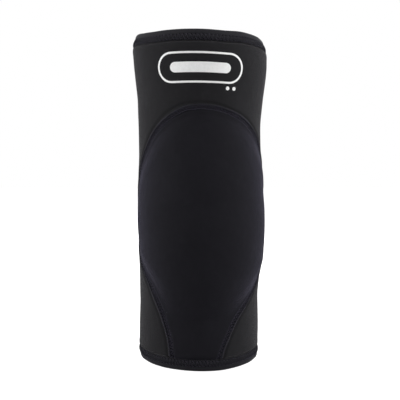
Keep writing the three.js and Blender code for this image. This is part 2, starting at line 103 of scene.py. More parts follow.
# Middle line of the pad panel: (z, arc).
PANEL_DRIFT = [
    (-117, -2.4), (-110, -2.2), (-102, -1.7), (-94, -0.6), (-87, 0.2), (-80, 1.3), (-74, 2.9),
    (-68.3, 4.7), (-62.6, 6.3), (-57, 7.2), (-51.2, 7.6), (-45.5, 7.7), (-39.1, 7.3), (-31.9, 6.9),
    (-18, 6.8), (0, 6.5), (14.9, 6.4), (34.8, 6.7), (46.5, 6.6), (51.5, 6.2), (56, 5.5),
    (59.8, 4.6), (63, 3), (65.2, 1.7), (66.1, 1.2)]
# Sideways shift of the axis: (z, x).
LEAN = [
    (-117, -0.9), (-108, -1.1), (-100, -0.95), (-88, -0.85), (-76, -0.8), (-70, -0.9),
    (-64, -0.7), (-57, -0.35), (-45, -0.1), (-15, 0.0), (25, 0.0), (44, -0.3), (56, -0.45),
    (62, -0.33), (68, -0.1), (74, 0.13), (92, 0.27), (98, 0.2), (104, -0.05), (110, -0.4),
    (117, -0.6)]
# Slope of each level, down towards +x: (z, degrees).
TILT = [(-117, 0.4), (-60, 0.2), (0, 0.0), (50, 0.25), (90, 0.8), (117, 0.92)]
# The rims aren't quite level. Rise of each rim: (arc, z).
RIM_TOP = [
    (-145, 0.7), (-118, 1.1), (-98, 1.9), (-82, 2.7), (-70, 3.0), (-62, 3.0), (-55, 2.6),
    (-46, 1.5), (-32, 0.5), (0, 0.35), (16, 0.2), (32, 1.05), (50, 1.05), (62, 0.7), (76, 0.45),
    (100, 0.5), (145, 0.7)]
RIM_LOW = [
    (-145, -0.2), (-90, -0.2), (-64, -0.6), (-50, -0.25), (-20, -0.08), (4, -0.25), (16, -0.42),
    (35, -0.05), (52, -0.1), (64, -0.5), (90, -0.6), (145, -0.2)]


# ---------------------------------------------------------------- curves
def monotone(table):
    """Monotone cubic through (x, y) pairs sorted by x, for arrays."""
    x = np.array([p[0] for p in table], float)
    y = np.array([p[1] for p in table], float)
    slope = np.diff(y) / np.diff(x)
    tangent = np.empty(len(x))
    tangent[0], tangent[-1] = slope[0], slope[-1]
    before, after = slope[:-1], slope[1:]
    # The branch not taken may divide by zero.
    with np.errstate(divide="ignore", invalid="ignore"):
        tangent[1:-1] = np.where(before * after <= 0, 0.0, 2 * before * after / (before + after))

    def curve(value):
        value = np.clip(np.asarray(value, float), x[0], x[-1])
        i = np.clip(np.searchsorted(x, value, side="right") - 1, 0, len(x) - 2)
        width = x[i + 1] - x[i]
        t = (value - x[i]) / width
        return (y[i] * (1 + 2 * t) * (1 - t) ** 2 + width * tangent[i] * t * (1 - t) ** 2
                + y[i + 1] * t * t * (3 - 2 * t) + width * tangent[i + 1] * t * t * (t - 1))
    return curve


def step(start, end, value):
    """Smooth step from 0 at start to 1 at end."""
    t = np.clip((np.asarray(value, float) - start) / (end - start), 0, 1)
    return t * t * (3 - 2 * t)


def bump(value, centre, width):
    return np.exp(-(((np.asarray(value, float) - centre) / width) ** 2))


def catmull_rom(points, per):
    """Smooth curve through the points, with per steps between neighbours."""
    p = np.array(points, float)
    p = np.vstack([2 * p[0] - p[1], p, 2 * p[-1] - p[-2]])
    t = np.linspace(0, 1, per, endpoint=False)[:, None]
    out = []
    for i in range(1, len(p) - 2):
        a, b, c, d = p[i - 1], p[i], p[i + 1], p[i + 2]
        out.append(0.5 * ((2 * b) + (c - a) * t + (2 * a - 5 * b + 4 * c - d) * t ** 2
                          + (3 * b - a - 3 * c + d) * t ** 3))
    out.append(p[-2][None])
    return np.vstack(out)


def segment_lengths(line):
    return np.hypot(*np.diff(line, axis=0).T)


def distances(line):
    """Distance along the line to each of its points."""
    return np.r_[0, np.cumsum(segment_lengths(line))]


def resample(line, spacing):
    dist = distances(line)
    count = max(2, int(round(dist[-1] / spacing)))
    t = np.linspace(0, dist[-1], count + 1)
    return np.stack([np.interp(t, dist, line[:, 0]), np.interp(t, dist, line[:, 1])], 1)


def along(line, t):
    """Position and flat normal on a line at distances t along it."""
    dist = distances(line)

    def at(t):
        return np.stack([np.interp(t, dist, line[:, 0]), np.interp(t, dist, line[:, 1])], -1)
    reach = 0.6
    tangent = at(t + reach) - at(t - reach)
    tangent /= np.maximum(np.hypot(tangent[..., 0], tangent[..., 1]), 1e-9)[..., None]
    return at(t), np.stack([-tangent[..., 1], tangent[..., 0]], -1)


sleeve_radius = monotone(PROFILE)
drift = monotone(PANEL_DRIFT)
lean = monotone(LEAN)
tilt = monotone(TILT)
rim_top = monotone(RIM_TOP)
rim_low = monotone(RIM_LOW)


# ---------------------------------------------------------------- the pad panel's seam
right_seam = resample(np.vstack([catmull_rom(SEAM_LINE, 24), [SEAM_TAIL]]), 0.5)


def drifted(points):
    """Flat points from the panel's own coordinates to sleeve coordinates."""
    return points + np.stack([drift(points[:, 1]), np.zeros(len(points))], 1)


def seam_distance(arc, z):
    """Distance to the seam line, positive outside the panel, in the panel's own coordinates."""
    shape = np.shape(arc)
    arc, z = np.abs(np.asarray(arc, float)).ravel(), np.asarray(z, float).ravel()
    out = np.empty(len(arc))
    start = right_seam[:-1]
    leg = right_seam[1:] - start
    leg_squared = (leg ** 2).sum(1)
    chunk = 4000  # keeps the distance tables small
    for k in range(0, len(arc), chunk):
        p = np.stack([arc[k:k + chunk], z[k:k + chunk]], 1)
        t = np.clip(((p[:, None] - start) * leg).sum(2) / leg_squared, 0, 1)
        nearest = start + t[..., None] * leg
        squared = ((p[:, None] - nearest) ** 2).sum(2)
        j = squared.argmin(1)
        cross = leg[j, 0] * (p[:, 1] - start[j, 1]) - leg[j, 1] * (p[:, 0] - start[j, 0])
        out[k:k + chunk] = np.sqrt(squared[np.arange(len(p)), j]) * np.where(cross > 0, 1, -1)
    return out.reshape(shape)


def off_seam(arc, z):
    """Distance to the pad seam from a place in sleeve coordinates."""
    return seam_distance(arc - drift(z), z)


def offset_seam(offset, spacing):
    """The whole seam line moved out by offset, hem to hem, in the panel's own coordinates."""
    tangent = np.gradient(right_seam, axis=0)
    tangent /= np.hypot(*tangent.T)[:, None]
    tangent[0] = (1, 0)
    moved = right_seam + np.stack([-tangent[:, 1], tangent[:, 0]], 1) * offset
    moved[:, 0] = np.maximum(moved[:, 0], 0)
    moved[0, 0] = 0
    moved = moved[np.r_[True, np.diff(moved[:, 1]) < 0]]
    return resample(np.vstack([(moved * [-1, 1])[::-1], moved[1:]]), spacing)


# ---------------------------------------------------------------- relief of the cloth
rng = np.random.default_rng(7)
# (frequency up the sleeve, phase, phase of the twist, waves round the sleeve, amount)
WAVES = [(rng.uniform(0.7, 1.3) * frequency, rng.uniform(0, TAU), rng.uniform(0, TAU),
          rng.integers(1, 5), amount)
         for frequency, amount in [(0.035, 1.0), (0.05, 0.8), (0.075, 0.5), (0.11, 0.35),
                                   (0.16, 0.22)]]


def uneven(arc, z):
    """Gentle unevenness in about -1..1, seamless round the sleeve."""
    angle = arc / ARC_R
    total = 0.0
    for frequency, phase, twist, turns, amount in WAVES:
        sway = 0.8 * np.sin(turns * angle + twist)
        total = total + amount * np.sin(frequency * z + phase + sway) * np.cos(
            turns * angle + phase)
    return total / 1.8


def creases(arc, z):
    """Soft folds across the back, level with the bend."""
    where = step(0.62, 0.92, np.abs(arc) / BACK) * (1 - step(30, 66, np.abs(z)))
    wander = 3.0 * np.sin(arc * 0.045 + 0.6) + 1.6 * np.sin(arc * 0.11 + 2.0)
    fold = np.cos(TAU * (z + wander) / 17.0)
    fold = np.sign(fold) * np.abs(fold) ** 0.8
    return 0.42 * where * (fold - 0.35)


# Ridges and grooves across a seam: (height, distance from its middle, width).
SEAM_BUMPS = [(-0.24, 2.45, 0.7), (0.34, RIDGE_AT, 0.75), (-0.12, NEEDLE_ROWS[1], 0.4),
              (-0.30, NEEDLE_ROWS[0], 0.45), (0.10, -3.4, 0.7)]


def seam_section(dist):
    """Relief of a seam at a distance from its middle: a soft groove holding ridges and rows."""
    total = -0.42 * (1 - step(1.9, 4.2, np.abs(dist - 0.2)))
    for height, centre, width in SEAM_BUMPS:
        total = total + height * bump(dist, centre, width)
    return total


def back_section(arc):
    return seam_section(np.where(arc > 0, BACK - arc, -BACK - arc))


def hem_pinch(z):
    """The cloth drops under the binding, with a slight swell beside it."""
    side = np.abs(z)
    return -1.75 * step(HEM_Z - 1.5, HEM_Z + 0.1, side) + 0.2 * bump(side, HEM_Z - 2.9, 1.7)


def shared_relief(arc, z, seam):
    """Relief that the outer layers and seams share, seam being the distance off the pad seam."""
    side = np.abs(arc)
    calm = 1 - step(HEM_Z - 12, HEM_Z - 1, np.abs(z))
    # The pad's edge lifts the cloth round it.
    pull = bump(seam, -2, 15) * step(-62, -30, z) * (1 - step(20, 46, z)) * step(20, 50, side)
    # Two dents and a swell on the flanks.
    local = (-0.7 * bump(z, 6, 10) * (arc > 0) + 0.6 * bump(z, -46, 6) * (arc > 0)
             - 0.45 * bump(z, -29, 9) * (arc < 0)) * step(28, 60, side) * (1 - step(76, 100, side))
    return 0.22 * uneven(arc, z) * calm + creases(arc, z) + pull + local


def body_height(arc, z):
    seam = off_seam(arc, z)
    pucker = 0.05 * np.sin(z * 1.9 + arc * 1.3) * bump(np.abs(seam), 4.4, 1.2)
    return (seam_section(seam) + back_section(arc) + hem_pinch(z) + shared_relief(arc, z, seam)
            + pucker)


def thread_shade_mask(arc, z):
    """Whether a place lies below a row of stitches, where the cloth gets painted shade."""
    seam = off_seam(arc, z)
    back = BACK - np.abs(arc)
    return ((np.abs(seam - NEEDLE_ROWS[1]) < 0.25) | (np.abs(seam - NEEDLE_ROWS[0]) < 0.25)
            | (np.abs(back - 0.7) < 0.2) | (np.abs(back - 2.0) < 0.2))


# ---------------------------------------------------------------- into the room
def place(arc, z, height):
    """Sleeve coordinates in mm to the room in metres."""
    arc, z, height = np.broadcast_arrays(*[np.asarray(v, float) for v in (arc, z, height)])
    angle = arc / ARC_R
    reach = sleeve_radius(z) + height
    x = reach * np.sin(angle)
    y = -reach * np.cos(angle)
    level = (z - x * np.tan(np.radians(tilt(z))) + rim_top(arc) * step(70, 112, z)
             + rim_low(arc) * step(-70, -112, z))
    return np.stack([x + lean(z), y + AXIS_Y, level], -1) * MM


def unit(vectors):
    return vectors / np.maximum(np.linalg.norm(vectors, axis=-1), 1e-12)[..., None]


def outward(arc, z):
    """Outward normal of the plain sleeve."""
    reach = 0.5
    return unit(np.cross(place(arc + reach, z, 0) - place(arc - reach, z, 0),
                         place(arc, z + reach, 0) - place(arc, z - reach, 0)))


# ---------------------------------------------------------------- meshes
def make_object(name, verts, faces, uv, material, smooth_angle):
    """An object with a "cloth" UV per vertex, sharp where it bends more than smooth_angle."""
    mesh = bpy.data.meshes.new(name)
    mesh.vertices.add(len(verts))
    mesh.vertices.foreach_set("co", np.asarray(verts, np.float32).ravel())
    lengths = np.array([len(face) for face in faces], np.int32)
    corners = np.concatenate([np.asarray(face, np.int32) for face in faces])
    mesh.loops.add(len(corners))
    mesh.loops.foreach_set("vertex_index", corners)
    mesh.polygons.add(len(faces))
    mesh.polygons.foreach_set("loop_start", np.r_[0, np.cumsum(lengths)[:-1]].astype(np.int32))
    mesh.update(calc_edges=True)
    mesh.validate()
    layer = mesh.uv_layers.new(name="cloth")
    index = np.empty(len(mesh.loops), np.int32)
    mesh.loops.foreach_get("vertex_index", index)
    layer.data.foreach_set("uv", np.asarray(uv, np.float32)[index].ravel())
    mesh.shade_smooth()
    if smooth_angle:
        mesh.set_sharp_from_angle(angle=math.radians(smooth_angle))
    piece = bpy.data.objects.new(name, mesh)
    bpy.context.scene.collection.objects.link(piece)
    mesh.materials.append(material)
    return piece


def second_material(piece, material, chosen):
    """Adds a material and puts it on the chosen faces."""
    mesh = piece.data
    mesh.materials.append(material)
    index = np.zeros(len(mesh.polygons), np.int32)
    index[chosen] = 1
    mesh.polygons.foreach_set("material_index", index)
    mesh.update()


def grid_points(low, high, spacing):
    """Scattered fill: rows of points, every other row shifted by half the spacing."""
    rows = []
    for j in range(int(math.ceil((high[1] - low[1]) / (spacing * 0.866))) + 1):
        z = low[1] + j * spacing * 0.866
        x = np.arange(low[0] + (spacing / 2 if j % 2 else 0), high[0] + 1e-6, spacing)
        rows.append(np.stack([x, np.full(len(x), z)], 1))
    return np.vstack(rows)


def point_tree(points):
    tree = kdtree.KDTree(len(points))
    for i, (x, y) in enumerate(points):
        tree.insert((x, y, 0), i)
    tree.balance()
    return tree


def triangulate(curves, fill, keep, clear):
    """Triangles over a flat region: curves are (points, closed) lines the mesh must follow, fill
    is scattered points used where they are clear of the lines, and keep tells which triangle
    middles are inside."""
    points, edges = [], []
    for line, closed in curves:
        base = len(points)
        points.extend(map(tuple, line))
        edges.extend((base + i, base + i + 1) for i in range(len(line) - 1))
        if closed:
            edges.append((base + len(line) - 1, base))
    tree = point_tree(points)
    for x, y in fill:
        if tree.find((x, y, 0))[2] > clear:
            points.append((float(x), float(y)))
    verts, _, faces, *_ = delaunay_2d_cdt([Vector(p) for p in points], edges, [], 0, 1e-5)
    verts = np.array([(p.x, p.y) for p in verts], float)
    faces = np.array([list(face) for face in faces if len(face) == 3], int)
    a, b, c = (verts[faces[:, i]] for i in range(3))
    area = (b[:, 0] - a[:, 0]) * (c[:, 1] - a[:, 1]) - (b[:, 1] - a[:, 1]) * (c[:, 0] - a[:, 0])
    faces[area < 0] = faces[area < 0][:, ::-1]
    faces = faces[(np.abs(area) > 1e-7) & keep((a + b + c) / 3)]
    used = np.unique(faces)
    remap = -np.ones(len(verts), int)
    remap[used] = np.arange(len(used))
    return verts[used], remap[faces]


def shell(name, flat, faces, outer, inner, material, uv_shift=(0, 0), paint_thread_shade=False):
    """A closed sheet from a flat triangulation between the outer and inner heights. Optionally,
    the outer faces below the seam threads get near-black cloth as painted shade."""
    arc, z = flat.T
    count = len(flat)
    directed = np.vstack([faces[:, [0, 1]], faces[:, [1, 2]], faces[:, [2, 0]]])
    _, index, uses = np.unique(np.sort(directed, axis=1), axis=0, return_index=True,
                               return_counts=True)
    rim = directed[index[uses == 1]]
    walls = np.stack([rim[:, 1], rim[:, 0], rim[:, 0] + count, rim[:, 1] + count], 1)
    piece = make_object(name, np.vstack([place(arc, z, outer), place(arc, z, inner)]),
                        list(faces) + list(faces[:, ::-1] + count) + list(walls),
                        np.vstack([flat, flat]) * 0.01 + np.array(uv_shift), material, 48)
    if paint_thread_shade:
        # Faces under the needle rows and back seam rows get the near-black cloth: painted shade
        # under the threads.
        middle = flat[faces].mean(1)
        near = thread_shade_mask(middle[:, 0], middle[:, 1])
        second_material(piece, THREAD_SHADE, np.flatnonzero(near))
    return piece


# ---------------------------------------------------------------- threads
def tubes(paths, normals, radius, sides, flat):
    """Closed threads along paths, an array (count, points, 3) in metres, with radius in mm; flat
    is their thickness over their width. Returns verts, faces and uv."""
    count, length, _ = paths.shape
    tangent = unit(np.gradient(paths, axis=1))
    across = unit(np.cross(tangent, normals))
    up = np.cross(across, tangent)
    angle = np.linspace(0, TAU, sides, endpoint=False)
    taper = np.ones(length)
    taper[0] = taper[-1] = 0.55
    ring = (np.cos(angle)[None, None, :, None] * across[:, :, None, :]
            + flat * np.sin(angle)[None, None, :, None] * up[:, :, None, :])
    verts = paths[:, :, None, :] + ring * (radius * MM * taper)[None, :, None, None]
    k = np.arange(count)[:, None, None] * length * sides
    i = np.arange(length - 1)[None, :, None] * sides
    j = np.arange(sides)[None, None, :]
    j_next = (j + 1) % sides
    corners = (k + i + j, k + i + sides + j, k + i + sides + j_next, k + i + j_next)
    quads = np.stack(np.broadcast_arrays(*corners), -1).reshape(-1, 4)
    first_caps = np.arange(count)[:, None] * length * sides + np.arange(sides)[None, :]
    last_caps = first_caps + (length - 1) * sides
    faces = list(quads) + list(first_caps) + list(last_caps[:, ::-1])
    uv = np.stack(np.broadcast_arrays(
        angle[None, None, :] / 6.283,
        np.arange(length)[None, :, None] * 0.35 + np.arange(count)[:, None, None] * 0.37), -1)
    return verts.reshape(-1, 3), faces, uv.reshape(-1, 2)


def merge(parts):
    verts, faces, uvs, base = [], [], [], 0
    for part_verts, part_faces, part_uv in parts:
        verts.append(part_verts)
        uvs.append(part_uv)
        faces.extend([np.asarray(face) + base for face in part_faces])
        base += len(part_verts)
    return np.vstack(verts), faces, np.vstack(uvs)


# One stitch, diving into the cloth at both ends: (place along it, rise).
STITCH_ARCH = np.array([(0, -0.55), (0.12, 0.0), (0.32, 0.8), (0.5, 1.0), (0.68, 0.8),
                        (0.88, 0.0), (1.0, -0.55)])


def stitch_row(line, across, pitch, length, height, lift, radius, start, sides=6):
    """Straight stitches beside a line; height(arc, z) is the cloth under them."""
    first = np.arange(start, segment_lengths(line).sum() - pitch, pitch)
    jitter = np.random.default_rng(11).uniform(-0.05, 0.05, len(first)) * pitch
    t = first[:, None] + jitter[:, None] + STITCH_ARCH[None, :, 0] * length
    point, normal = along(line, t)
    wobble = np.random.default_rng(5).uniform(-0.06, 0.06, len(first))[:, None]
    arc = point[..., 0] + normal[..., 0] * (across + wobble)
    z = point[..., 1] + normal[..., 1] * (across + wobble)
    top = height(arc, z) + lift + STITCH_ARCH[None, :, 1] * radius * 0.9
    return tubes(place(arc, z, top), outward(arc, z), radius, sides, flat=0.85)


def zigzag(line, half, pitch, height, lift, radius, per, bulge, centre=0.0, phase=0.0, sides=5):
    """One looper thread running to and fro across a line, half to each side of centre, with per
    points on each leg."""
    legs = int(segment_lengths(line).sum() / (pitch / 2))
    k = np.arange(legs * per + 1)
    cycle = (k % (2 * per)) / per
    sway = np.where(cycle <= 1, 2 * cycle - 1, 3 - 2 * cycle)
    sway = np.sin(sway * math.pi / 2 * 0.92) / math.sin(math.pi / 2 * 0.92)
    point, normal = along(line, k * (pitch / 2) / per + phase * pitch)
    across = centre + sway * half
    arc = point[:, 0] + normal[:, 0] * across
    z = point[:, 1] + normal[:, 1] * across
    top = height(arc, z) + lift + bulge * (1 - sway ** 2) * radius
    return tubes(place(arc, z, top)[None], outward(arc, z)[None], radius, sides, flat=0.9)


# ---------------------------------------------------------------- shader helpers
class Shader:
    """A material with one principled surface, and short ways to add nodes to it."""

    def __init__(self, name):
        self.material = bpy.data.materials.new(name)
        self.material.use_nodes = True
        self.tree = self.material.node_tree
        self.tree.nodes.clear()
        output = self.node("OutputMaterial")
        self.principled = self.node("BsdfPrincipled")
        self.put(self.principled.outputs[0], output.inputs["Surface"])

    def node(self, kind, **settings):
        node = self.tree.nodes.new("ShaderNode" + kind)
        for key, value in settings.items():
            setattr(node, key, value)
        return node

    def put(self, value, socket):
        """Sets a number or an RGB colour, or links another node's output."""
        if isinstance(value, (int, float)):
            socket.default_value = value
        elif isinstance(value, tuple):
            socket.default_value = (*value, 1.0)
        else:
            self.tree.links.new(value, socket)

    def math(self, operation, first, second=0.0):
        node = self.node("Math", operation=operation)
        for value, socket in zip((first, second, 0.0), node.inputs):
            self.put(value, socket)
        return node.outputs[0]

    def scaled(self, value, gain, offset):
        return self.math("ADD", self.math("MULTIPLY", value, gain), offset)

    def weighted(self, *terms):
        """Sum of (value, weight) terms."""
        total = self.math("MULTIPLY", *terms[0])
        for term in terms[1:]:
            total = self.math("ADD", total, self.math("MULTIPLY", *term))
        return total

    def wave(self, value, pitch=1.0, kind="COSINE"):
        """A wave in 0..1."""
        turned = self.math("MULTIPLY", value, TAU / pitch)
        return self.scaled(self.math(kind, turned), gain=0.5, offset=0.5)

    def noise(self, vector, scale, detail=2.0, roughness=0.5, distortion=0.0):
        node = self.node("TexNoise")
        self.put(vector, node.inputs["Vector"])
        for key, value in (("Scale", scale), ("Detail", detail), ("Roughness", roughness),
                           ("Distortion", distortion)):
            self.put(value, node.inputs[key])
        return node.outputs["Fac"]

    def voronoi(self, vector, scale):
        node = self.node("TexVoronoi", feature="F1")
        self.put(vector, node.inputs["Vector"])
        self.put(scale, node.inputs["Scale"])
        return node.outputs

    def remap(self, value, to=(0.0, 1.0), source=(0.3, 0.7)):
        """Clamped change of range; the usual source is the busy middle of a noise."""
        node = self.node("MapRange", clamp=True)
        for item, socket in zip((value, *source, *to), node.inputs):
            self.put(item, socket)
        return node.outputs[0]

    def mix(self, factor, first, second, blend="MIX"):
        node = self.node("Mix", data_type="RGBA", blend_type=blend)
        for value, i in ((factor, 0), (first, 6), (second, 7)):
            self.put(value, node.inputs[i])
        return node.outputs[2]

    def shaded(self, colour, relief, darkest):
        """The colour with shadow in the hollows of the yarn and light on its tops."""
        shade = self.remap(relief, to=(darkest, 1.12), source=(0.0, 0.9))
        grey = self.node("CombineColor")
        for i in range(3):
            self.put(shade, grey.inputs[i])
        return self.mix(1.0, colour, grey.outputs[0], "MULTIPLY")

    def uv(self):
        split = self.node("SeparateXYZ")
        self.put(self.node("UVMap", uv_map="cloth").outputs[0], split.inputs[0])
        return split.outputs[0], split.outputs[1]

    def cloth_point(self):
        """Place on the cloth in mm: across, up, and both as a vector."""
        across, up = (self.math("MULTIPLY", value, 100.0) for value in self.uv())
        node = self.node("CombineXYZ")
        self.put(across, node.inputs[0])
        self.put(up, node.inputs[1])
        return across, up, node.outputs[0]

    def object_point(self):
        return self.node("TexCoord").outputs["Object"]

    def bump(self, relief, strength, depth, normal=None):
        """Bump with its depth in mm, on top of another normal."""
        node = self.node("Bump")
        self.put(strength, node.inputs["Strength"])
        self.put(depth * MM, node.inputs["Distance"])
        self.put(relief, node.inputs["Height"])
        if normal is not None:
            self.put(normal, node.inputs["Normal"])
        return node.outputs["Normal"]

    def surface(self, colour, roughness, normal, specular=0.5, sheen=0.0, sheen_roughness=0.5,
                tint=(1.0, 1.0, 1.0)):
        for key, value in (("Base Color", colour), ("Roughness", roughness), ("Normal", normal),
                           ("Specular IOR Level", specular), ("Sheen Weight", sheen),
                           ("Sheen Roughness", sheen_roughness), ("Sheen Tint", tint)):
            self.put(value, self.principled.inputs[key])
        return self.material


def knit(g, across, up, wale=0.62, course=0.48):
    """Height of a plain knit: columns of V stitches, wale wide and course high, in mm."""
    column = g.math("FRACT", g.math("DIVIDE", across, wale))
    side = g.math("MULTIPLY", g.math("ABSOLUTE", g.math("SUBTRACT", column, 0.5)), 2.0)
    row = g.math("ADD", g.math("DIVIDE", up, course), g.math("MULTIPLY", side, 0.55))
    loop = g.wave(row)
    ridge = g.math("SUBTRACT", 1.0, g.math("POWER", side, 3.0))
    return g.math("MULTIPLY", ridge, g.scaled(loop, gain=0.6, offset=0.4))


# ---------------------------------------------------------------- materials
def cloth_material(name, dark, light, sheen, tint=(1.0, 1.0, 1.0), wale=0.62, course=0.48,
                   roughness=0.78, specular=0.22, knit_depth=0.10, lint=0.0, worn=0.10):
    """Knitted cloth, with optional lint specks and worn patches, each from 0 to 1."""
    g = Shader(name)
    across, up, point = g.cloth_point()
    stitches = knit(g, across, up, wale, course)
    patches = g.noise(point, scale=0.045, detail=3.0, roughness=0.55)
    mottle = g.noise(point, scale=0.55, detail=3.0, roughness=0.6)
    fuzz = g.noise(point, scale=3.4, roughness=0.6)
    tone = g.weighted((g.remap(patches), 0.45), (g.remap(mottle), 0.35), (fuzz, 0.2))
    colour = g.shaded(g.mix(tone, dark, light), stitches, darkest=0.72)
    if worn:
        rub = g.noise(point, scale=0.11, detail=4.0, roughness=0.65, distortion=0.6)
        rub = g.remap(rub, to=(0.0, worn), source=(0.56, 0.74))
        paler = tuple(min(1.0, c * 2.4 + 0.012) for c in light)
        colour = g.mix(rub, colour, paler)
    if lint:
        # Small specks at the middles of a few large cells.
        cells = g.voronoi(point, scale=0.085)
        speck = g.math("LESS_THAN", cells["Distance"], 0.022)
        split = g.node("SeparateColor")
        g.put(cells["Color"], split.inputs[0])
        rare = g.math("GREATER_THAN", split.outputs[0], 0.80)
        amount = g.math("MULTIPLY", g.math("MULTIPLY", speck, rare), lint)
        colour = g.mix(amount, colour, (0.16, 0.16, 0.17))
    normal = g.bump(g.noise(point, scale=0.16), strength=0.5, depth=0.5)
    normal = g.bump(fuzz, strength=0.6, depth=0.05, normal=normal)
    normal = g.bump(stitches, strength=0.8, depth=knit_depth, normal=normal)
    rough = g.remap(mottle, to=(roughness - 0.06, roughness + 0.06), source=(0.25, 0.75))
    return g.surface(colour, rough, normal, specular=specular, sheen=sheen, sheen_roughness=0.35,
                     tint=tint)


def thread_material(name, dark, light, sheen, specular):
    """Twisted thread, paler along each ply."""
    g = Shader(name)
    around, along_thread = g.uv()
    ply = g.wave(g.weighted((around, 2.0), (along_thread, 6.0)), kind="SINE")
    mottle = g.noise(g.object_point(), scale=900.0)
    colour = g.mix(g.weighted((ply, 0.65), (mottle, 0.35)), dark, light)
    return g.surface(colour, g.remap(mottle, to=(0.55 - 0.08, 0.55 + 0.08)),
                     g.bump(ply, strength=0.7, depth=0.08), specular=specular,
                     sheen=sheen, sheen_roughness=0.3, tint=(0.74, 0.68, 1.0))


def tape_material(name, dark, light):
    """Woven binding: fine ribs running round, with a satin face."""
    g = Shader(name)
    across, up, point = g.cloth_point()
    rib = g.wave(up, pitch=0.7)
    weft = g.wave(across, pitch=0.5)
    weave = g.math("MULTIPLY", g.scaled(rib, gain=0.7, offset=0.3),
                   g.scaled(weft, gain=0.5, offset=0.5))
    patches = g.noise(point, scale=0.09, detail=3.0, roughness=0.55)
    fuzz = g.noise(point, scale=2.6, roughness=0.6)
    tone = g.weighted((g.remap(patches), 0.6), (fuzz, 0.4))
    colour = g.shaded(g.mix(tone, dark, light), weave, darkest=0.75)
    normal = g.bump(fuzz, strength=0.5, depth=0.06)
    normal = g.bump(weave, strength=0.8, depth=0.10, normal=normal)
    return g.surface(colour, g.remap(fuzz, to=(0.6, 0.74)), normal, specular=0.2,
                     sheen=0.23, sheen_roughness=0.35, tint=(0.92, 0.92, 1.0))


def print_material(name):
    """White film that lets the knit show through a little, with small pits."""
    g = Shader(name)
    across, up, point = g.cloth_point()
    stitches = knit(g, across, up)
    mottle = g.noise(point, scale=0.5, detail=3.0, roughness=0.6)
    grain = g.noise(point, scale=3.0, roughness=0.6)
    colour = g.mix(g.remap(mottle), (0.90, 0.905, 0.90), (0.98, 0.98, 0.975))
    pits = g.math("MULTIPLY", g.remap(stitches, to=(1.0, 0.0), source=(0.0, 0.16)),
                  g.remap(grain, to=(0.0, 0.45), source=(0.52, 0.68)))
    colour = g.mix(pits, colour, (0.34, 0.34, 0.35))
    normal = g.bump(grain, strength=0.4, depth=0.04)
    normal = g.bump(stitches, strength=0.5, depth=0.05, normal=normal)
    return g.surface(colour, g.remap(mottle, to=(0.42, 0.55)), normal, specular=0.4)


def foam_material(name):
    """Dark open-celled foam."""
    g = Shader(name)
    point = g.object_point()
    cells = g.voronoi(point, scale=1100.0)["Distance"]
    mottle = g.noise(point, scale=90.0, detail=3.0)
    colour = g.mix(g.weighted((cells, 0.6), (mottle, 0.4)),
                   (0.022, 0.022, 0.024), (0.06, 0.061, 0.066))
    return g.surface(colour, g.remap(mottle, to=(0.85, 0.97)),
                     g.bump(cells, strength=0.6, depth=0.25), specular=0.2)


def label_material(name):
    """Blank woven satin label."""
    g = Shader(name)
    across, up, point = g.cloth_point()
    weave = g.weighted((g.wave(across, pitch=0.28), 0.7), (g.wave(up, pitch=0.36), 0.3))
    mottle = g.noise(point, scale=0.35, detail=3.0)
    colour = g.mix(g.weighted((weave, 0.6), (mottle, 0.4)),
                   (0.38, 0.38, 0.37), (0.58, 0.58, 0.56))
    return g.surface(colour, g.remap(mottle, to=(0.4, 0.55)),
                     g.bump(weave, strength=0.7, depth=0.06), sheen=0.2)


BODY = cloth_material(
    "neoprene_jersey", dark=(0.0089, 0.0085, 0.0101), light=(0.0143, 0.0138, 0.0160),
    sheen=0.195, tint=(0.965, 0.945, 1.0), specular=0.16, lint=0.5)
PANEL = cloth_material(
    "pad_cover_knit", dark=(0.0050, 0.0047, 0.0072), light=(0.0088, 0.0083, 0.0122),
    sheen=0.240, tint=(0.715, 0.665, 1.0), specular=0.14, wale=0.55, course=0.44,
    lint=0.4, worn=0.06)
JERSEY = cloth_material(
    "jersey_lining", dark=(0.013, 0.013, 0.014), light=(0.022, 0.022, 0.024),
    sheen=0.18, wale=0.8, course=0.6, roughness=0.85, knit_depth=0.14, worn=0.0)
TAPE = tape_material(
    "binding_tape", dark=(0.0070, 0.0067, 0.0098), light=(0.0117, 0.0112, 0.0156))
# Near-black cloth for the faces under the stitch rows: painted shade standing in for the shadow
# under the threads.
THREAD_SHADE = cloth_material(
    "painted_seam_shade", dark=(0.0038, 0.0036, 0.0048), light=(0.0068, 0.0065, 0.0084),
    sheen=0.09, tint=(0.85, 0.80, 1.0), specular=0.08, roughness=0.9, worn=0.0)
THREAD = thread_material(
    "seam_thread", dark=(0.0064, 0.0060, 0.0096), light=(0.0190, 0.0178, 0.0275),
    sheen=0.27, specular=0.22)
ROW_THREAD = thread_material(
    "needle_thread", dark=(0.0132, 0.0122, 0.0196), light=(0.0340, 0.0316, 0.0480),
    sheen=0.34, specular=0.25)
FOAM = foam_material("pad_foam")
PRINT = print_material("white_print")
LABEL = label_material("woven_label")


# ---------------------------------------------------------------- pad shape
def plain_rise(arc, z):
    """The pad as a smooth crown, in the panel's own coordinates."""
    reach = np.where(z > PAD_MID_Z, PAD_UP, PAD_DOWN)
    upright = np.clip(np.abs(z - PAD_MID_Z) / reach, 0, 1)
    half_width = np.interp(z, right_seam[::-1, 1], right_seam[::-1, 0]) - 3.6
    sideways = np.clip(np.abs(arc) / np.maximum(half_width, 1e-3), 0, 1)
    crown = (1 - upright ** 2.1) ** 1.15 * (1 - sideways ** 2.3) ** 1.12
    return PAD_RISE * crown * step(PAD_EDGE, 16.0, -seam_distance(arc, z))


